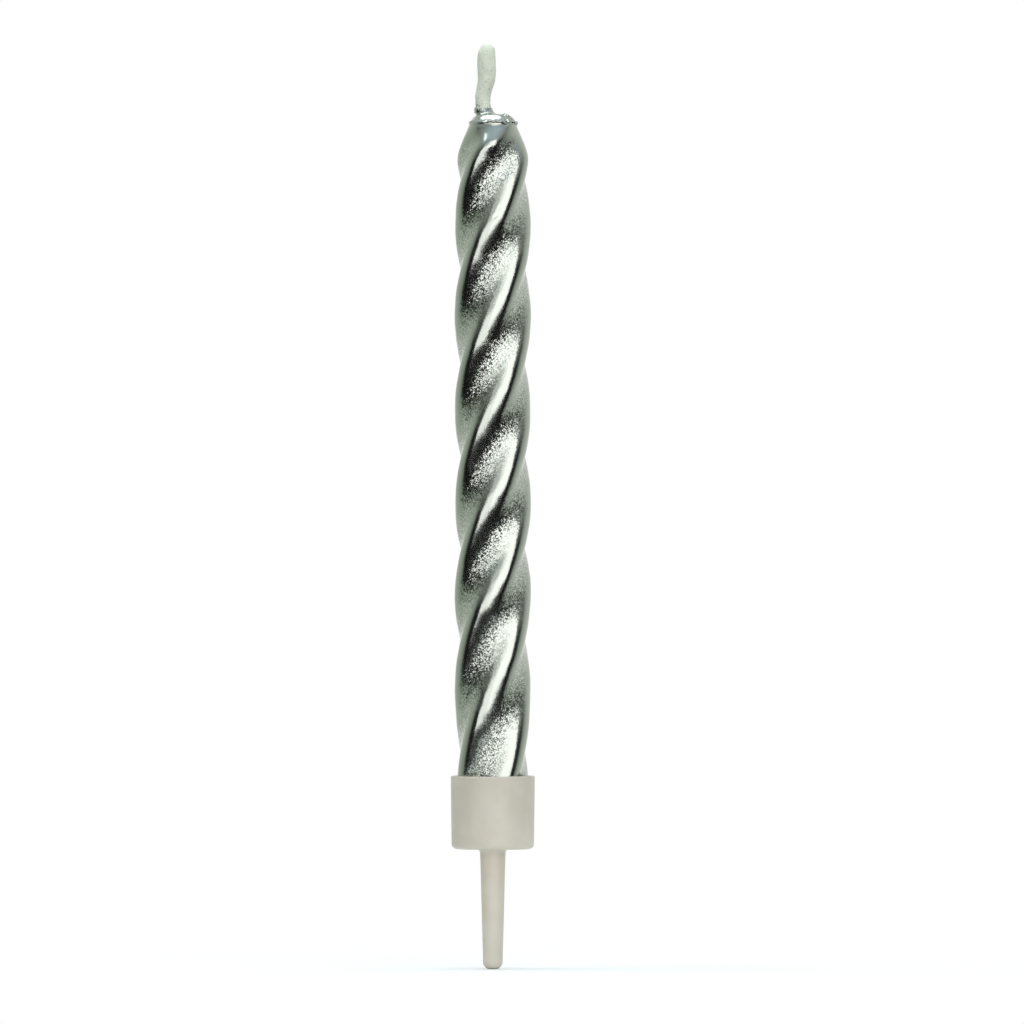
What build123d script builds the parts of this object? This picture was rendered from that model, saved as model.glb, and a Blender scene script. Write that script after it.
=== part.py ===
from build123d import *
import math
import os

# Spiral birthday candle in its cake holder, in millimetres.
# +Z runs up the candle and -Y is the front. The origin is the middle of the cup's underside,
# where the spike starts.

# Holder: one moulding, a cup with a spike under it
cup_height = 6.1
cup_floor = 0.8
cup_lip_wall = 0.33
cup_draft = 0.07
cup_lip_round = 0.1
cup_edge_round = 0.45
spike_length = 10.0
spike_root_diameter = 2.14
spike_tip_diameter = 1.62
spike_root_fillet = 0.35
spike_tip_round = 0.6

# Candle: a rounded square bar with hollow sides and a right-handed twist, slacker near the foot
candle_length = 60.4
bar_across_sides = 5.39
bar_corner_radius = 1.5
side_hollow = 0.12
twist_lead = 30.9
front_crest_height = 36.85
slack_lead = 38.0
slack_below = 17.2
coat_thickness = 0.2

# Foot: the crests are shaved to a slight cone that wedges in the cup
foot_shave = 0.29
foot_rise_above_lip = 1.0
socket_clearance = 0.03

# Shoulder: a cone above the last turns, then a steeper crown round the wick
shoulder_height = 3.56
crown_height = 1.1
crown_diameter = 4.16
crown_top_diameter = 2.7
crown_round = 0.35

# Wick: a waxed flat braid, centred at the base and leaning as it leaves the wax
wick_width = 1.6
wick_thickness = 1.2
wick_stub = 6.0
wick_lean_start = 9.0
wick_lean = 0.86
wick_lean_height = 1.1
wick_return = 0.44
wick_return_height = 3.0
wick_tip_lean = 0.57
wick_tip_round = 0.45

# How much of a half width a rounding may take, and of a run the bend at each of its ends
round_share = 0.9
bend_share = 0.45

# Sizes that follow from the ones above
corner_centre = bar_across_sides / 2 - bar_corner_radius
crest_radius = corner_centre * math.sqrt(2) + bar_corner_radius
socket_depth = cup_height - cup_floor
candle_base = cup_floor
candle_top = candle_base + candle_length
foot_radius = crest_radius - foot_shave
foot_rise_per_radius = (socket_depth + foot_rise_above_lip) / foot_shave
shoulder_rise_per_radius = (shoulder_height - crown_height) / (crest_radius - crown_diameter / 2)
clear_of_crests = crest_radius * 1.2


def foot_cone_radius(height):
    return foot_radius + (height - candle_base) / foot_rise_per_radius


def rounded_corner(profile, corner, radius):
    vertex = profile.vertices().sort_by_distance(corner)[0]
    return fillet(vertex, radius)


def revolved(profile):
    return revolve(Plane.XZ * profile, Axis.Z)


def holder():
    socket_mouth = foot_cone_radius(cup_height) + socket_clearance
    socket_end = foot_cone_radius(cup_floor) + socket_clearance
    rim_radius = socket_mouth + cup_lip_wall
    base_radius = rim_radius - cup_draft
    root_radius = spike_root_diameter / 2
    tip_radius = spike_tip_diameter / 2
    tip = (tip_radius, -spike_length)
    root = (root_radius, 0)
    base_edge = (base_radius, 0)
    lip_outside = (rim_radius, cup_height)
    lip_inside = (socket_mouth, cup_height)
    outline = Polyline(
        (0, -spike_length), tip, root, base_edge, lip_outside, lip_inside,
        (socket_end, cup_floor), (0, cup_floor), close=True,
    )
    profile = make_face(outline)
    lip_round = min(cup_lip_round, round_share * cup_lip_wall / 2)
    rounds = [
        (tip, min(spike_tip_round, round_share * tip_radius)),
        (root, spike_root_fillet),
        (base_edge, cup_edge_round),
        (lip_outside, lip_round),
        (lip_inside, lip_round),
    ]
    for corner, radius in rounds:
        profile = rounded_corner(profile, corner, radius)
    return revolved(profile)


def bar_section(inset):
    between_centres = (corner_centre ** 2 + side_hollow ** 2) / (2 * side_hollow)
    side_centre = corner_centre + between_centres - side_hollow
    corner_radius = bar_corner_radius - inset
    side_radius = between_centres - bar_corner_radius + inset
    lean = math.degrees(math.asin(corner_centre / between_centres))
    edges = []
    for quarter in range(4):
        turn = Rot(0, 0, 90 * quarter)
        edges.append(turn * CenterArc((corner_centre, corner_centre), corner_radius, -lean, 90 + 2 * lean))
        edges.append(turn * CenterArc((side_centre, 0), side_radius, 180 - lean, 2 * lean))
    return make_face(edges)


def twisted_run(inset, lead, start, end, start_turn):
    section = Pos(0, 0, start) * Rot(0, 0, start_turn) * bar_section(inset)
    return Solid.extrude_linear_with_rotation(
        section.face(),
        center=(0, 0, start),
        normal=(0, 0, end - start),
        angle=360 / lead * (end - start),
    )


def twisted_bar(inset):
    slack_turn = 45 - 360 / twist_lead * (front_crest_height - slack_below)
    base_turn = slack_turn - 360 / slack_lead * (slack_below - candle_base)
    lower = twisted_run(inset, slack_lead, candle_base, slack_below, base_turn)
    upper = twisted_run(inset, twist_lead, slack_below, candle_top, slack_turn)
    return lower + upper


def candle_envelope(inset):
    foot = foot_radius - inset
    crown = crown_diameter / 2 - inset
    crown_top = crown_top_diameter / 2 - inset
    crown_base = candle_top - crown_height
    top = candle_top - inset
    crown_edge = (crown_top, top)
    outline = Polyline(
        (0, candle_base),
        (foot, candle_base),
        (clear_of_crests, candle_base + foot_rise_per_radius * (clear_of_crests - foot)),
        (clear_of_crests, crown_base - shoulder_rise_per_radius * (clear_of_crests - crown)),
        (crown, crown_base),
        crown_edge,
        (0, top),
        close=True,
    )
    profile = make_face(outline)
    crown_limit = round_share * min(crown_top, top - crown_base)
    profile = rounded_corner(profile, crown_edge, min(crown_round, crown_limit))
    return revolved(profile)


def candle_form(inset):
    return candle_envelope(inset) & twisted_bar(inset)


def wick():
    points = [
        (0, candle_base),
        (0, candle_top - wick_lean_start),
        (-wick_lean, candle_top + wick_lean_height),
        (-wick_return, candle_top + wick_return_height),
        (-wick_tip_lean, candle_top + wick_stub),
    ]
    corners = [Vector(x, 0, z) for x, z in points]
    runs = [end - start for start, end in zip(corners, corners[1:])]
    radii = []
    for before, after in zip(runs, runs[1:]):
        half_turn = math.radians(before.get_angle(after)) / 2
        radii.append(bend_share * min(before.length, after.length) / math.tan(half_turn))
    path = FilletPolyline(*corners, radius=radii)
    side_round = round_share * min(wick_width, wick_thickness) / 2
    section = Pos(0, 0, candle_base) * RectangleRounded(wick_width, wick_thickness, side_round)
    braid = sweep(section, path=path)
    tip_edges = braid.faces().sort_by(Axis.Z)[-1].edges()
    return fillet(tip_edges, min(wick_tip_round, round_share * side_round))


wick_solid = wick()
core_form = candle_form(coat_thickness)
pieces = {
    "holder": holder(),
    "wax_core": core_form - wick_solid,
    "silver_coat": candle_form(0) - core_form - wick_solid,
    "wick": wick_solid,
}

os.makedirs("parts", exist_ok=True)
for name, piece in pieces.items():
    export_step(piece, f"parts/{name}.step")
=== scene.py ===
import math

import bpy
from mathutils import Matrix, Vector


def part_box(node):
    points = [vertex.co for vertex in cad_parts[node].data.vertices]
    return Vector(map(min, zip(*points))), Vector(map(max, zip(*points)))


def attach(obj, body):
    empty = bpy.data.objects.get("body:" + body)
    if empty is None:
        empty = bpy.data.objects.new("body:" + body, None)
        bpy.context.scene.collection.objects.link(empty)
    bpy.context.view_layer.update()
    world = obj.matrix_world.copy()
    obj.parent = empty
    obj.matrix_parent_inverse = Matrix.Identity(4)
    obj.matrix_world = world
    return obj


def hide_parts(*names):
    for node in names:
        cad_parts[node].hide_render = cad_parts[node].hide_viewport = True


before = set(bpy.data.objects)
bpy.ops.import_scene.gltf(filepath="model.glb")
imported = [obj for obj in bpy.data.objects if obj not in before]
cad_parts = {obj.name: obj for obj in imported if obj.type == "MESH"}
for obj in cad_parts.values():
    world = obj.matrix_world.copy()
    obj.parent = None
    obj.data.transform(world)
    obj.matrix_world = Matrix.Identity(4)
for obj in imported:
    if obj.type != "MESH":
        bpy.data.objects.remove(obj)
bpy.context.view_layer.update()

mm = 0.001               # pieces are drawn in millimetres and brought to metres when done
hair = 0.001             # points closer than this, in millimetres, count as one place
smoothAngle = 50         # edges flatter than this, in degrees, are shaded smooth
print("frame loaded:", ", ".join(sorted(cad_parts)))


def nodeBox(node):
    low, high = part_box(node)
    return low / mm, high / mm


holderLow, holderHigh = nodeBox("holder")
coatLow, coatHigh = nodeBox("silver_coat")
wickTop = nodeBox("wick")[1].z
floorHeight = holderLow.z
lipHeight = holderHigh.z
barBase = coatLow.z
barTop = coatHigh.z
crestRadius = (coatHigh.x - coatLow.x) / 2


# Small helpers

def deselectAll():
    bpy.ops.object.select_all(action='DESELECT')


def editMode(on):
    bpy.ops.object.mode_set(mode='EDIT' if on else 'OBJECT')


def makeActive(obj):
    deselectAll()
    obj.select_set(True)
    bpy.context.view_layer.objects.active = obj


def pickVertices(obj, wanted):
    editMode(True)                                 # old marks are cleared first
    bpy.ops.mesh.select_mode(type='VERT')
    bpy.ops.mesh.select_all(action='DESELECT')
    editMode(False)
    for v in obj.data.vertices:
        v.select = wanted(v)
    editMode(True)


def recalcNormals(obj):
    pickVertices(obj, lambda v: True)
    bpy.ops.mesh.normals_make_consistent(inside=False)
    editMode(False)


def applyModifier(obj, kind, **settings):
    makeActive(obj)
    mod = obj.modifiers.new(kind.title(), kind)
    for key, value in settings.items():
        setattr(mod, key, value)
    bpy.ops.object.modifier_apply(modifier=mod.name)


def weigh(obj, name, weight):
    group = obj.vertex_groups.new(name=name)
    for v in obj.data.vertices:
        group.add([v.index], max(0, min(1, weight(v.co))), 'REPLACE')
    return name


def roughen(obj, name, grain, strength, weight, direction='NORMAL'):
    tex = bpy.data.textures.new(name, 'CLOUDS')
    tex.noise_scale = grain
    applyModifier(obj, 'DISPLACE', texture=tex, texture_coords='LOCAL', strength=strength,
                  mid_level=0.5, direction=direction, vertex_group=weigh(obj, name, weight))


def finishPiece(obj, name, body, material, replaced):
    obj.name = name
    obj.data.name = name
    makeActive(obj)
    obj.scale = (mm, mm, mm)
    bpy.ops.object.transform_apply(location=True, rotation=True, scale=True)
    bpy.ops.object.shade_smooth_by_angle(angle=math.radians(smoothAngle))
    obj.data.materials.clear()
    obj.data.materials.append(material)
    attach(obj, body)
    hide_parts(replaced)
    print("piece done:", name, len(obj.data.polygons), "faces")


def hexColour(text):
    out = []
    for i in (1, 3, 5):
        c = int(text[i:i + 2], 16) / 255
        out.append(c / 12.92 if c <= 0.04045 else ((c + 0.055) / 1.055) ** 2.4)
    return (*out, 1.0)


def addNode(tree, kind, settings=None, links=None):
    node = tree.nodes.new(kind)
    for key, value in (settings or {}).items():
        if key == "stops":                         # a colour ramp's places and colours
            for i, (place, colour) in enumerate(value):
                stops = node.color_ramp.elements
                stop = stops[i] if i < 2 else stops.new(place)
                stop.position = place
                stop.color = hexColour(colour)
        elif isinstance(key, int) or key in node.inputs:     # sockets that share a name go by number
            node.inputs[key].default_value = value
        else:
            setattr(node, key, value)
    for key, source in (links or {}).items():
        tree.links.new(source, node.inputs[key])
    return node


def newMaterial(name):
    mat = bpy.data.materials.new(name)
    mat.use_nodes = True
    mat.node_tree.nodes.clear()
    return mat, mat.node_tree


# Silver lacquer: aluminium flakes in a clear dip over wax, a glossy metal with a fine sparkle

silverLook = {
    "tones": [(0.0, "#aeb3ab"), (0.5, "#b8bdb5"), (1.0, "#dbe0d8")],
    "roughness": (0.18, 0.2),      # on a crest, on a side
    "flake": 0.08,                 # real flakes are about 0.03 mm, drawn coarser so that they show
    "tilt": (0.012, 0.21),         # flakes lie flat where the dip is drawn tight over a crest
}


def silverLacquer():
    look = silverLook
    mat, tree = newMaterial("silver flake lacquer, dipped")
    place = addNode(tree, 'ShaderNodeTexCoord')
    flakes = addNode(tree, 'ShaderNodeTexVoronoi', {"Scale": 1 / (look["flake"] * mm)},
                     {"Vector": place.outputs["Object"]})
    lean = addNode(tree, 'ShaderNodeVectorMath', {"operation": 'SUBTRACT', 1: (0.5, 0.5, 0.5)},
                   {0: flakes.outputs["Color"]})
    side = addNode(tree, 'ShaderNodeAttribute', {"attribute_name": "sideShare"})
    tilt = addNode(tree, 'ShaderNodeMapRange',
                   {"To Min": 2 * look["tilt"][0], "To Max": 2 * look["tilt"][1]},     # lean ends at a half
                   {"Value": side.outputs["Fac"]})
    gloss = addNode(tree, 'ShaderNodeMapRange',
                    {"To Min": look["roughness"][0], "To Max": look["roughness"][1]},
                    {"Value": side.outputs["Fac"]})
    scaled = addNode(tree, 'ShaderNodeVectorMath', {"operation": 'SCALE'},
                     {0: lean.outputs[0], "Scale": tilt.outputs["Result"]})
    surface = addNode(tree, 'ShaderNodeNewGeometry')
    tilted = addNode(tree, 'ShaderNodeVectorMath', {"operation": 'ADD'},
                     {0: surface.outputs["Normal"], 1: scaled.outputs[0]})
    unit = addNode(tree, 'ShaderNodeVectorMath', {"operation": 'NORMALIZE'}, {0: tilted.outputs[0]})
    grain = addNode(tree, 'ShaderNodeMix', {2: 0.5},     # the middle tone on a crest, a flake's own on a side
                    {0: side.outputs["Fac"], 3: flakes.outputs["Color"]})
    tone = addNode(tree, 'ShaderNodeValToRGB', {"stops": look["tones"]}, {"Fac": grain.outputs[0]})
    skin = addNode(tree, 'ShaderNodeBsdfPrincipled', {"Metallic": 1.0},
                   {"Base Color": tone.outputs["Color"], "Roughness": gloss.outputs["Result"],
                    "Normal": unit.outputs[0]})
    addNode(tree, 'ShaderNodeOutputMaterial', None, {"Surface": skin.outputs["BSDF"]})
    return mat


# White polystyrene, moulded: a warm off-white that lets a little light in, satin, with soft clouding

holderLook = {
    "tones": [(0.3, "#c7c0b2"), (0.7, "#d1cbbd")],
    "cloud": 2.2,
    "grit": 0.16,          # mould texture is nearer 0.05 mm, drawn coarser so that it shows
    "gritHeight": 0.006,
    "roughness": (0.36, 0.5),
    "lightDepth": 0.5,
}


def mouldedPolystyrene():
    look = holderLook
    mat, tree = newMaterial("white polystyrene, moulded")
    place = addNode(tree, 'ShaderNodeTexCoord')
    cloud = addNode(tree, 'ShaderNodeTexNoise', {"Scale": 1 / (look["cloud"] * mm), "Detail": 3.0},
                    {"Vector": place.outputs["Object"]})
    tone = addNode(tree, 'ShaderNodeValToRGB', {"stops": look["tones"]}, {"Fac": cloud.outputs["Fac"]})
    gloss = addNode(tree, 'ShaderNodeMapRange',
                    {"To Min": look["roughness"][0], "To Max": look["roughness"][1]},
                    {"Value": cloud.outputs["Fac"]})
    grit = addNode(tree, 'ShaderNodeTexNoise', {"Scale": 1 / (look["grit"] * mm)},
                   {"Vector": place.outputs["Object"]})
    bump = addNode(tree, 'ShaderNodeBump', {"Distance": look["gritHeight"] * mm},
                   {"Height": grit.outputs["Fac"]})
    skin = addNode(tree, 'ShaderNodeBsdfPrincipled',
                   {"IOR": 1.59, "Subsurface Weight": 0.2, "Subsurface Radius": (1, 0.9, 0.8),
                    "Subsurface Scale": look["lightDepth"] * mm},
                   {"Base Color": tone.outputs["Color"], "Roughness": gloss.outputs["Result"],
                    "Normal": bump.outputs["Normal"]})
    addNode(tree, 'ShaderNodeOutputMaterial', None, {"Surface": skin.outputs["BSDF"]})
    return mat


# Cotton braid soaked in wax: pale, dull and slightly see-through, with silver specks where the dip splashed

wickLook = {
    "tones": [(0.3, "#e5eddb"), (0.7, "#eef4e4")],
    "fibre": (0.08, 0.08, 0.9),    # fibres are nearer 0.02 mm thick, drawn coarser so that they show
    "fibreHeight": 0.012,
    "speck": 0.16,
    "speckFrom": 0.5,              # specks thin out between these heights over the crown
    "speckTo": 1.1,
    "speckLevels": (0.46, 0.66),
    "speckColour": "#c4c9c2",
    "roughness": 0.5,
    "lightDepth": 0.4,
}


def waxedCotton():
    look = wickLook
    mat, tree = newMaterial("cotton braid soaked in wax")
    place = addNode(tree, 'ShaderNodeTexCoord')
    along = addNode(tree, 'ShaderNodeMapping', {"Scale": [1 / (f * mm) for f in look["fibre"]]},
                    {"Vector": place.outputs["Object"]})
    fibres = addNode(tree, 'ShaderNodeTexNoise', {"Scale": 1.0, "Detail": 3.0},
                     {"Vector": along.outputs["Vector"]})
    tone = addNode(tree, 'ShaderNodeValToRGB', {"stops": look["tones"]}, {"Fac": fibres.outputs["Fac"]})
    axes = addNode(tree, 'ShaderNodeSeparateXYZ', None, {"Vector": place.outputs["Object"]})
    level = addNode(tree, 'ShaderNodeMapRange',
                    {"From Min": (barTop + look["speckFrom"]) * mm,
                     "From Max": (barTop + look["speckTo"]) * mm,
                     "To Min": look["speckLevels"][0], "To Max": look["speckLevels"][1]},
                    {"Value": axes.outputs["Z"]})
    splash = addNode(tree, 'ShaderNodeTexNoise', {"Scale": 1 / (look["speck"] * mm)},
                     {"Vector": place.outputs["Object"]})
    speck = addNode(tree, 'ShaderNodeMath', {"operation": 'GREATER_THAN'},
                    {0: splash.outputs["Fac"], 1: level.outputs["Result"]})
    paint = addNode(tree, 'ShaderNodeMix', {"data_type": 'RGBA', 7: hexColour(look["speckColour"])},
                    {0: speck.outputs[0], 6: tone.outputs["Color"]})
    bump = addNode(tree, 'ShaderNodeBump', {"Distance": look["fibreHeight"] * mm},
                   {"Height": fibres.outputs["Fac"]})
    skin = addNode(tree, 'ShaderNodeBsdfPrincipled',
                   {"Roughness": look["roughness"], "IOR": 1.44, "Subsurface Weight": 0.25,
                    "Subsurface Radius": (1, 1, 0.9), "Subsurface Scale": look["lightDepth"] * mm},
                   {"Base Color": paint.outputs[2], "Metallic": speck.outputs[0],
                    "Normal": bump.outputs["Normal"]})
    addNode(tree, 'ShaderNodeOutputMaterial', None, {"Surface": skin.outputs["BSDF"]})
    return mat


# Paraffin wax, sawn: milky and soft to the light, with faint saw lines on the cut end

waxLook = {
    "tones": [(0.3, "#dedace"), (0.7, "#ece9de")],
    "cloud": 1.5,
    "sawLine": 0.35,
    "waveBand": 0.314,     # a wave texture has one band in this length at scale 1
    "sawHeight": 0.02,
    "roughness": 0.55,
    "lightDepth": 1.2,
}


def sawnParaffin():
    look = waxLook
    mat, tree = newMaterial("paraffin wax, sawn")
    place = addNode(tree, 'ShaderNodeTexCoord')
    cloud = addNode(tree, 'ShaderNodeTexNoise', {"Scale": 1 / (look["cloud"] * mm), "Detail": 3.0},
                    {"Vector": place.outputs["Object"]})
    tone = addNode(tree, 'ShaderNodeValToRGB', {"stops": look["tones"]}, {"Fac": cloud.outputs["Fac"]})
    lines = addNode(tree, 'ShaderNodeTexWave',
                    {"Scale": look["waveBand"] / (look["sawLine"] * mm), "Distortion": 1.5},
                    {"Vector": place.outputs["Object"]})
    bump = addNode(tree, 'ShaderNodeBump', {"Distance": look["sawHeight"] * mm},
                   {"Height": lines.outputs["Fac"]})
    skin = addNode(tree, 'ShaderNodeBsdfPrincipled',
                   {"Roughness": look["roughness"], "IOR": 1.44, "Subsurface Weight": 0.5,
                    "Subsurface Radius": (1, 0.95, 0.85), "Subsurface Scale": look["lightDepth"] * mm},
                   {"Base Color": tone.outputs["Color"], "Normal": bump.outputs["Normal"]})
    addNode(tree, 'ShaderNodeOutputMaterial', None, {"Surface": skin.outputs["BSDF"]})
    return mat


# Twisted bar: a rounded square ring with hollow sides, drawn up step by step and turned a little each time

bar = {
    "cornerRadius": 1.50,        # rounding of the four crests
    "cornerSegments": 8,
    "sideCuts": 7,
    "hollow": 0.03,              # the sides sink a hair between the crests
    "frontCrest": 36.55,         # a crest faces the front at this height
    "leads": [                   # the twist is uneven: height, and the height of a full turn there
        (6.1, 45.0),
        (21.0, 30.2),
        (36.8, 30.8),
        (42.0, 31.5),
        (48.0, 31.0),
        (54.0, 29.5),
        (58.0, 29.0),
    ],
    "footShave": 0.29,           # the foot is this much slimmer, to wedge in the cup
    "footRise": 1.0,             # and full again this far over the lip
    "shoulderHeight": 3.56,      # from the top down
    "crownHeight": 1.10,
    "crownRadius": 2.08,
    "step": 0.5,                 # from ring to ring
    "shoulderStep": 0.25,
    "depthFrom": 0.45,           # the top is pinched: front and back close later than the sides
    "crownDeeper": 0.32,         # so the rim is deeper than wide by this on each side
    "neckHeight": 57.3,          # the sides draw in here, under the shoulder
    "neckDepth": 0.12,
    "neckReach": 2.4,
    "softBelow": 0.3,            # the shoulder's corner is soft from this far below it
    "softening": 3,
    "calmBelow": 2.0,            # the grain has faded at this far below the top
    "calmFade": 0.8,             # over this height
    "calmGrain": 0.1,            # to this share
    "grainFocus": 1.5,           # a power that keeps it to the middle of a side
    "coat": 0.2,                 # thickness of the dip
}


def sinkSides(factor, height, reach):              # picked middles move in, what lies near follows
    bpy.ops.transform.resize(value=(factor, factor, 1), center_override=(0, 0, height),
                             use_proportional_edit=True, proportional_edit_falloff='SMOOTH',
                             proportional_size=reach)


def drawRing(inset):
    crest = crestRadius - inset
    corner = bar["cornerRadius"] - inset
    half = (crest - corner) / math.sqrt(2) + corner
    deselectAll()
    bpy.ops.mesh.primitive_plane_add(size=2 * half)
    ring = bpy.context.object
    editMode(True)
    bpy.ops.mesh.select_all(action='SELECT')
    bpy.ops.transform.translate(value=(0, 0, barBase))
    bpy.ops.mesh.bevel(offset=corner, segments=bar["cornerSegments"], profile=0.5, affect='VERTICES')
    bpy.ops.mesh.select_mode(type='EDGE')
    bpy.ops.mesh.select_all(action='DESELECT')
    editMode(False)
    for edge in ring.data.edges:                   # the four long sides
        a, b = (ring.data.vertices[i].co for i in edge.vertices)
        edge.select = (a - b).length > corner
    editMode(True)
    bpy.ops.mesh.subdivide(number_cuts=bar["sideCuts"])
    bpy.ops.mesh.select_all(action='SELECT')
    bpy.ops.mesh.delete(type='ONLY_FACE')
    pickVertices(ring, lambda v: min(abs(v.co.x), abs(v.co.y)) < hair)      # the middles of the sides
    sink = 1 - bar["hollow"] / half
    sinkSides(sink, barBase, half - corner)
    bpy.ops.mesh.select_all(action='SELECT')
    return ring


def turnRate(height):
    stretches = list(zip(bar["leads"], bar["leads"][1:]))
    for (low, leadLow), (high, leadHigh) in stretches:
        if height <= high:
            break
    share = max(0, min(1, (height - low) / (high - low)))
    return 360 / leadLow + (360 / leadHigh - 360 / leadLow) * share


def turnRing(degrees, height):
    bpy.ops.transform.rotate(value=-math.radians(degrees), orient_axis='Z', center_override=(0, 0, height))


def sizeRing(factor, height):
    bpy.ops.transform.resize(value=(factor, factor, 1), center_override=(0, 0, height))


def barHeights(top):
    shoulder = barTop - bar["shoulderHeight"]
    heights = [barBase]
    while heights[-1] < top - hair:
        step = bar["step"] if heights[-1] < shoulder else bar["shoulderStep"]
        heights.append(min(top, heights[-1] + step))
    return heights


def drawnIn(height):                               # how far the shoulder has closed, sideways and in depth
    low = barTop - bar["shoulderHeight"]
    high = barTop - bar["crownHeight"]
    across = max(0, min(1, (height - low) / (high - low)))
    return across, max(0, (across - bar["depthFrom"]) / (1 - bar["depthFrom"]))


def shoulderSize(height):                          # half width and half depth over the crests
    across, through = drawnIn(height)
    wide = crestRadius + (bar["crownRadius"] - crestRadius) * across
    deep = crestRadius + (bar["crownRadius"] + bar["crownDeeper"] - crestRadius) * through
    return wide, deep


def drawBar(inset):
    ring = drawRing(inset)
    crownBase = barTop - bar["crownHeight"] - inset
    shoulder = barTop - bar["shoulderHeight"]
    heights = barHeights(crownBase)
    runs = list(zip(heights, heights[1:]))
    front = bar["frontCrest"]
    turned = sum(turnRate((a + b) / 2) * (min(b, front) - a) for a, b in runs if a < front)
    turnRing(45 - turned, barBase)                 # the ring's crests start at 45 degrees
    footTop = lipHeight + bar["footRise"]
    footSize = 1 - bar["footShave"] / crestRadius
    sizeNow = footSize
    sizeRing(footSize, barBase)
    for low, high in runs:
        bpy.ops.mesh.extrude_region_move(TRANSFORM_OT_translate={"value": (0, 0, high - low)})
        turnRing(turnRate((low + high) / 2) * (high - low), high)
        if low < footTop:                          # the foot widens to the full bar
            size = min(1, footSize + (1 - footSize) * (high - barBase) / (footTop - barBase))
            sizeRing(size / sizeNow, high)
            sizeNow = size
    editMode(False)

    neck = min(heights, key=lambda h: abs(h - bar["neckHeight"]))
    inRing = [v.co.xy.length for v in ring.data.vertices if abs(v.co.z - neck) < hair]
    pickVertices(ring, lambda v: abs(v.co.z - neck) < hair and v.co.xy.length < min(inRing) + hair)
    draw = 1 - bar["neckDepth"] / min(inRing)
    sinkSides(draw, neck, bar["neckReach"])
    editMode(False)

    for height in heights:                         # the shoulder closes from square to oval, ring by ring
        across, through = drawnIn(height + inset)
        if across == 0:
            continue
        wide, deep = shoulderSize(height + inset)
        reach = [v.co.xy.length for v in ring.data.vertices if abs(v.co.z - height) < hair]
        widest = max(reach) + (sum(reach) / len(reach) - max(reach)) * through
        pickVertices(ring, lambda v: abs(v.co.z - height) < hair)
        bpy.ops.transform.tosphere(value=through, center_override=(0, 0, height))
        bpy.ops.transform.resize(value=((wide - inset) / widest, (deep - inset) / widest, 1),
                                 center_override=(0, 0, height))
        editMode(False)
    pickVertices(ring, lambda v: shoulder - bar["softBelow"] < v.co.z < crownBase - hair)
    bpy.ops.mesh.vertices_smooth(factor=0.5, repeat=bar["softening"])
    editMode(False)
    pickVertices(ring, lambda v: v.co.z > crownBase - hair)
    return ring, crownBase


# Crown: a bevel with a ragged edge, then a flat top that creeps up the wick

crown = {
    "rings": [                   # radius, height over the crown's edge, shift towards the wick
        (2.03, 0.12, 0.00),
        (1.99, 0.25, 0.00),
        (1.97, 0.35, 0.00),
        (2.05, 0.42, 0.00),
        (2.02, 0.48, 0.00),
        (1.90, 0.54, 0.00),
        (1.78, 0.64, 0.00),
        (1.66, 0.76, 0.02),
        (1.54, 0.89, 0.04),
        (1.42, 1.00, 0.06),
        (1.28, 1.08, 0.10),
        (1.12, 1.11, 0.26),
        (0.95, 1.14, 0.52),
        (0.80, 1.26, 0.74),
        (0.75, 1.48, 0.80),
        (0.74, 1.70, 0.81),
        (0.58, 1.66, 0.81),
    ],
    "roundFrom": 1.2,            # the flat top is round from this radius in
    "ragGrain": 0.28,
    "ragHeight": 0.16,
    "ragPlace": 0.45,            # the lip's height over the crown's edge
    "ragReach": 0.15,            # it is ragged this far up and down
    "lumpGrain": 0.9,            # the rim rises and falls
    "lumpHeight": 0.24,
    "lumpRise": 0.2,             # the lumps grow over this from the crown's edge
    "lumpTop": 0.2,              # end this far over the bar
    "lumpFade": 0.6,             # and fade over this below it
    "tornFrom": 0.6,             # the skin is torn on the right from here
    "tornAbove": 0.1,            # and from here up, over the crown's edge
    "tornFade": (0.4, 0.2),      # across, upwards
    "tornGrain": 0.22,
    "tornHeight": 0.4,
    "collarFrom": 0.05,          # over the bar
    "collarFade": 0.15,
    "collarGrain": 0.18,
    "collarHeight": 0.14,
}

marks = {                        # small flaws of the dip, by place on the front: across, height
    "nick": {"places": [(0.52, 53.2), (0.34, 52.85), (0.16, 52.55)], "depth": 0.05, "reach": 0.32},
    "sag": {"places": [(0.10, 23.9), (0.75, 24.2)], "depth": 0.05, "reach": 0.8},
}

waves = {"grain": 4.0, "height": 0.16, "fade": 3.0}      # low in the dip, none in the cup or on the shoulder


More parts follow.
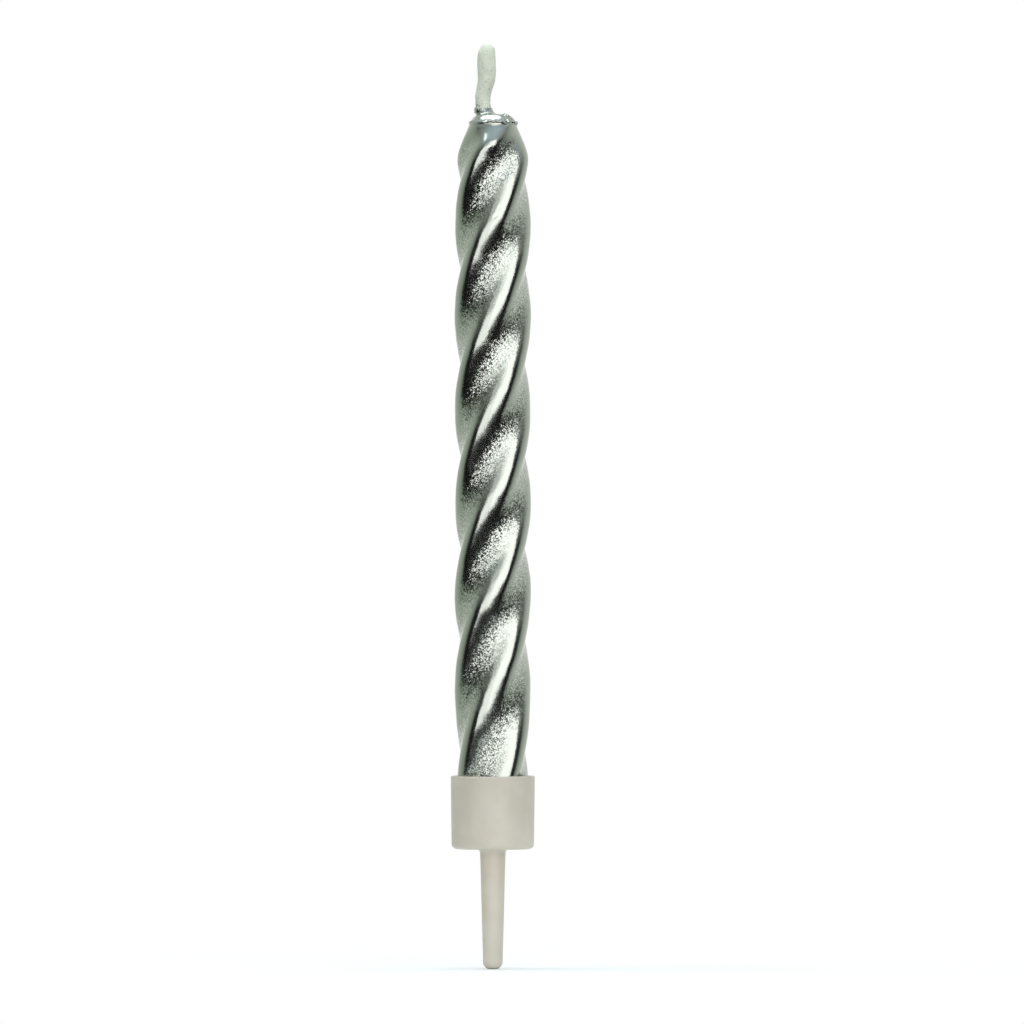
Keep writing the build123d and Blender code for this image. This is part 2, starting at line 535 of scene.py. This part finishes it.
def drawCoat():
    coat, height = drawBar(0)
    edge = height
    radius, shift, deeper = bar["crownRadius"], 0, bar["crownDeeper"]
    for wide, above, towards in crown["rings"]:
        bpy.ops.mesh.extrude_region_move(
            TRANSFORM_OT_translate={"value": (shift - towards, 0, edge + above - height)})
        height = edge + above
        deepNow = bar["crownDeeper"] if wide > crown["roundFrom"] else 0
        bpy.ops.transform.resize(value=(wide / radius, (wide + deepNow) / (radius + deeper), 1),
                                 center_override=(-towards, 0, height))
        radius, shift, deeper = wide, towards, deepNow
    editMode(False)
    recalcNormals(coat)
    applyModifier(coat, 'SUBSURF', levels=1, render_levels=1)

    share = coat.data.attributes.new("sideShare", 'FLOAT', 'POINT')      # 0 on a crest, 1 on a side
    side = (crestRadius - bar["cornerRadius"]) / math.sqrt(2) + bar["cornerRadius"]
    for v in coat.data.vertices:
        wide, deep = shoulderSize(v.co.z)
        out = math.hypot(v.co.x / wide, v.co.y / deep)
        down = max(0, min(1, (1 - out) * crestRadius / (crestRadius - side)))
        calm = max(0, min(1, (barTop - bar["calmBelow"] - v.co.z) / bar["calmFade"]))
        kept = bar["calmGrain"] + (1 - bar["calmGrain"]) * calm
        share.data[v.index].value = down ** bar["grainFocus"] * kept     # crests and shoulder stay smooth

    for mark in marks.values():
        for x, z in mark["places"]:
            front = (v for v in coat.data.vertices if v.co.y < 0)
            nearest = min(front, key=lambda v: (v.co.x - x) ** 2 + (v.co.z - z) ** 2).index
            pickVertices(coat, lambda v: v.index == nearest)
            bpy.ops.transform.translate(value=(0, mark["depth"], 0), use_proportional_edit=True,
                                        proportional_edit_falloff='SMOOTH', proportional_size=mark["reach"])
            editMode(False)
    roughen(coat, "dip waves", waves["grain"], waves["height"],
            lambda co: min(co.z - lipHeight, barTop - bar["shoulderHeight"] - co.z) / waves["fade"])
    roughen(coat, "ragged edge", crown["ragGrain"], crown["ragHeight"],
            lambda co: 1 - abs(co.z - edge - crown["ragPlace"]) / crown["ragReach"])
    roughen(coat, "crown lumps", crown["lumpGrain"], crown["lumpHeight"],
            lambda co: min((co.z - edge) / crown["lumpRise"],
                           (barTop + crown["lumpTop"] - co.z) / crown["lumpFade"]), 'Z')
    roughen(coat, "torn skin", crown["tornGrain"], crown["tornHeight"],
            lambda co: min((co.x - crown["tornFrom"]) / crown["tornFade"][0],
                           (co.z - edge - crown["tornAbove"]) / crown["tornFade"][1]))
    roughen(coat, "splashed collar", crown["collarGrain"], crown["collarHeight"],
            lambda co: (co.z - barTop - crown["collarFrom"]) / crown["collarFade"])
    applyModifier(coat, 'SOLIDIFY', thickness=bar["coat"], offset=-1)
    return coat


# Wax: the same bar inside the coat, closed at the top and sawn flat at the foot

wax = {
    "clearance": 0.01,           # to the coat
    "topShare": 0.65,            # the top is this much of the crown's width
    "endRim": 0.12,              # left round the cut end
    "endHollow": 0.02,           # the wick's end stands this proud of the wax
}


def drawCore():
    core, height = drawBar(bar["coat"] + wax["clearance"])
    top = barTop - bar["coat"]
    bpy.ops.mesh.extrude_region_move(TRANSFORM_OT_translate={"value": (0, 0, top - height)})
    sizeRing(wax["topShare"], top)
    bpy.ops.mesh.edge_face_add()                   # closed at the top
    editMode(False)
    pickVertices(core, lambda v: v.co.z < barBase + hair)
    bpy.ops.mesh.edge_face_add()                   # and at the cut end
    bpy.ops.mesh.inset(thickness=wax["endRim"])
    bpy.ops.transform.translate(value=(0, 0, wax["endHollow"]))
    editMode(False)
    recalcNormals(core)
    return core


# Wick: a stiff waxed braid that leaves the wax off centre, leans, straightens and ends in a round tip

wick = {
    "line": [                    # height, middle, half width
        (0.8, 0.00, 0.74),
        (30.0, 0.00, 0.74),
        (52.0, 0.00, 0.74),
        (56.5, -0.30, 0.74),
        (60.4, -0.70, 0.68),
        (61.4, -0.79, 0.66),
        (62.0, -0.82, 0.66),
        (62.5, -0.83, 0.66),
        (62.9, -0.80, 0.67),
        (63.3, -0.72, 0.69),
        (63.7, -0.60, 0.73),
        (64.1, -0.52, 0.76),
        (64.8, -0.52, 0.79),
        (65.5, -0.54, 0.80),
        (66.0, -0.53, 0.79),
        (66.35, -0.50, 0.75),
        (66.65, -0.46, 0.66),
        (66.90, -0.45, 0.52),
        (67.08, -0.45, 0.32),
        (67.15, -0.45, 0.12),
    ],
    "depthShare": 0.78,
    "sides": 16,
    "lumpGrain": 0.8,
    "lumpHeight": 0.10,
    "lumpsBelow": 1,             # they start this far under the bar's top
    "tipFade": 0.6,              # and fade over this at the tip
}


def drawWick():
    deselectAll()
    height, middle, half = wick["line"][0]
    bpy.ops.mesh.primitive_circle_add(vertices=wick["sides"], radius=half, fill_type='NGON',
                                      location=(0, 0, 0))
    braid = bpy.context.object
    editMode(True)
    bpy.ops.mesh.select_all(action='SELECT')
    bpy.ops.transform.translate(value=(middle, 0, height))
    bpy.ops.transform.resize(value=(1, wick["depthShare"], 1), center_override=(middle, 0, height))
    for z, x, wide in wick["line"][1:]:
        bpy.ops.mesh.extrude_region_move(TRANSFORM_OT_translate={"value": (x - middle, 0, z - height)})
        bpy.ops.transform.resize(value=(wide / half, wide / half, 1), center_override=(x, 0, z))
        height, middle, half = z, x, wide
    editMode(False)
    recalcNormals(braid)
    applyModifier(braid, 'SUBSURF', levels=3, render_levels=3)
    roughen(braid, "wax lumps", wick["lumpGrain"], wick["lumpHeight"],
            lambda co: min(co.z - barTop + wick["lumpsBelow"], (wickTop - co.z) / wick["tipFade"]))
    return braid


silver = silverLacquer()
polystyrene = mouldedPolystyrene()
cotton = waxedCotton()
paraffin = sawnParaffin()
print("materials mixed")
finishPiece(drawCoat(), "silver_coat_skin", "candle", silver, "silver_coat")
finishPiece(drawCore(), "wax_bar", "candle", paraffin, "wax_core")
finishPiece(drawWick(), "wick_braid", "candle", cotton, "wick")
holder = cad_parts["holder"]                  # the turned solid is right as it is
holder.data.materials.clear()
holder.data.materials.append(polystyrene)


# Stage: a small pale floor, a pale sweep behind, a dark room in front, soft boxes there and a top light

stage = {
    "floorRadius": 45,
    "floorSides": 128,
    "floorColour": "#f4f4f2",
    "floorGlow": 0.1,            # lifts the lit floor to the backdrop's white and leaves the shadow
    "sky": [(0.15, "#0c0c0b"), (0.42, "#a8aaa6"), (0.85, "#d4e4f6")],       # by height of the direction
    "sweep": [                   # from front to back
        (0.38, "#0c0c0b"),
        (0.47, "#99a098"),
        (0.58, "#c3c9c2"),
        (0.76, "#dbe0da"),
        (0.95, "#eaeee9"),
    ],
    "tint": [(0.25, "#e2e6e0"), (0.75, "#fdfdfd")],      # left to right
    "backdrop": (0.92, 1.0),     # where the metal sees the white backdrop itself
    "boxes": [                   # left, right, low and high edge in degrees, and level
        (-6, 52, -9, 14, 2.05),
        (12, 50, 14, 38, 1.8),
        (-6, 12, 14, 38, 1.25),
        (-50, -6, -9, 14, 1.7),
        (-40, -6, 14, 34, 0.6),
    ],
    "boxDistance": 1300,
    "topLevel": 2.15,
    "topSize": (1700, 760),
    "topPlace": (-300, 0),
}


def drawFloor():
    deselectAll()
    bpy.ops.mesh.primitive_circle_add(vertices=stage["floorSides"], radius=stage["floorRadius"] * mm,
                                      fill_type='NGON', location=(0, 0, floorHeight * mm))
    floor = bpy.context.object
    floor.name = "floor"
    mat, tree = newMaterial("pale floor")
    path = addNode(tree, 'ShaderNodeLightPath')
    paint = addNode(tree, 'ShaderNodeBsdfDiffuse', {"Color": hexColour(stage["floorColour"])})
    lift = addNode(tree, 'ShaderNodeMath', {"operation": 'MULTIPLY', 1: stage["floorGlow"]},
                   {0: path.outputs["Is Camera Ray"]})
    glow = addNode(tree, 'ShaderNodeEmission', {"Color": (1, 1, 1, 1)}, {"Strength": lift.outputs[0]})
    both = addNode(tree, 'ShaderNodeAddShader', None, {0: paint.outputs[0], 1: glow.outputs[0]})
    addNode(tree, 'ShaderNodeOutputMaterial', None, {"Surface": both.outputs[0]})
    floor.data.materials.append(mat)


def lightStudio():
    world = bpy.data.worlds.new("studio")
    bpy.context.scene.world = world
    world.use_nodes = True
    tree = world.node_tree
    tree.nodes.clear()
    place = addNode(tree, 'ShaderNodeTexCoord')
    half = addNode(tree, 'ShaderNodeVectorMath',
                   {"operation": 'MULTIPLY_ADD', 1: (0.5, 0.5, 0.5), 2: (0.5, 0.5, 0.5)},
                   {0: place.outputs["Generated"]})
    axes = addNode(tree, 'ShaderNodeSeparateXYZ', None, {"Vector": place.outputs["Generated"]})
    shares = addNode(tree, 'ShaderNodeSeparateXYZ', None, {"Vector": half.outputs[0]})
    sky = addNode(tree, 'ShaderNodeValToRGB', {"stops": stage["sky"]}, {"Fac": axes.outputs["Z"]})
    sweep = addNode(tree, 'ShaderNodeValToRGB', {"stops": stage["sweep"]}, {"Fac": shares.outputs["Y"]})
    tint = addNode(tree, 'ShaderNodeValToRGB', {"stops": stage["tint"]}, {"Fac": shares.outputs["X"]})
    lighter = addNode(tree, 'ShaderNodeMix', {"data_type": 'RGBA', "blend_type": 'LIGHTEN', 0: 1.0},
                      {6: sky.outputs["Color"], 7: sweep.outputs["Color"]})
    tinted = addNode(tree, 'ShaderNodeMix', {"data_type": 'RGBA', "blend_type": 'MULTIPLY', 0: 1.0},
                     {6: lighter.outputs[2], 7: tint.outputs["Color"]})
    path = addNode(tree, 'ShaderNodeLightPath')
    room = addNode(tree, 'ShaderNodeBackground', {"Strength": 1.0}, {"Color": tinted.outputs[2]})
    white = addNode(tree, 'ShaderNodeBackground', {"Color": (1, 1, 1, 1), "Strength": 1.0})
    behind = addNode(tree, 'ShaderNodeMapRange',
                     {"From Min": stage["backdrop"][0], "From Max": stage["backdrop"][1]},
                     {"Value": shares.outputs["Y"]})
    mirrored = addNode(tree, 'ShaderNodeMath', {"operation": 'MAXIMUM'},
                       {0: path.outputs["Is Glossy Ray"], 1: path.outputs["Is Transmission Ray"]})
    inMetal = addNode(tree, 'ShaderNodeMath', {"operation": 'MULTIPLY'},
                      {0: mirrored.outputs[0], 1: behind.outputs["Result"]})
    seen = addNode(tree, 'ShaderNodeMath', {"operation": 'MAXIMUM'},
                   {0: path.outputs["Is Camera Ray"], 1: inMetal.outputs[0]})
    mix = addNode(tree, 'ShaderNodeMixShader', None,
                  {0: seen.outputs[0], 1: room.outputs[0], 2: white.outputs[0]})
    addNode(tree, 'ShaderNodeOutputWorld', None, {"Surface": mix.outputs[0]})

    distance = stage["boxDistance"] * mm
    middle = (barBase + barTop) / 2 * mm
    deselectAll()
    for *edges, boxLevel in stage["boxes"]:
        left, right, low, high = (math.tan(math.radians(e)) * distance for e in edges)
        bpy.ops.object.light_add(type='AREA', rotation=(math.radians(90), 0, 0),
                                 location=((left + right) / 2, -distance, middle + (low + high) / 2))
        box = bpy.context.object
        box.name = "soft box"
        box.data.shape = 'RECTANGLE'
        box.data.size = right - left
        box.data.size_y = high - low
        box.data.energy = boxLevel * math.pi * box.data.size * box.data.size_y
    x, y = (offset * mm for offset in stage["topPlace"])
    bpy.ops.object.light_add(type='AREA', location=(x, y, distance))
    top = bpy.context.object
    top.name = "top light"
    top.data.shape = 'RECTANGLE'
    top.data.size, top.data.size_y = (size * mm for size in stage["topSize"])
    top.data.energy = stage["topLevel"] * math.pi * top.data.size * top.data.size_y


# Camera: level with the candle, far off with a long lens, framed as in the photo

camera = {
    "distance": 1000,
    "pixelsPerMm": 12.0,
    "frame": 1024,
    "axisPixel": 492.8,          # the candle's axis in the photo's frame
    "originPixel": 849,          # the cup's underside in the photo's frame
    "sensor": 36,
    "farClip": 10000,
}


def placeCamera():
    c = camera
    x = (c["frame"] / 2 - c["axisPixel"]) / c["pixelsPerMm"]
    z = (c["originPixel"] - c["frame"] / 2) / c["pixelsPerMm"]
    deselectAll()
    bpy.ops.object.camera_add(location=(x * mm, -c["distance"] * mm, z * mm),
                              rotation=(math.radians(90), 0, 0))
    cam = bpy.context.object
    cam.data.sensor_width = c["sensor"]
    cam.data.lens = c["sensor"] * c["distance"] * c["pixelsPerMm"] / c["frame"]
    cam.data.clip_end = c["farClip"] * mm
    bpy.context.scene.camera = cam


drawFloor()
lightStudio()
placeCamera()
bpy.context.scene.view_settings.view_transform = 'Standard'
print("stage set")
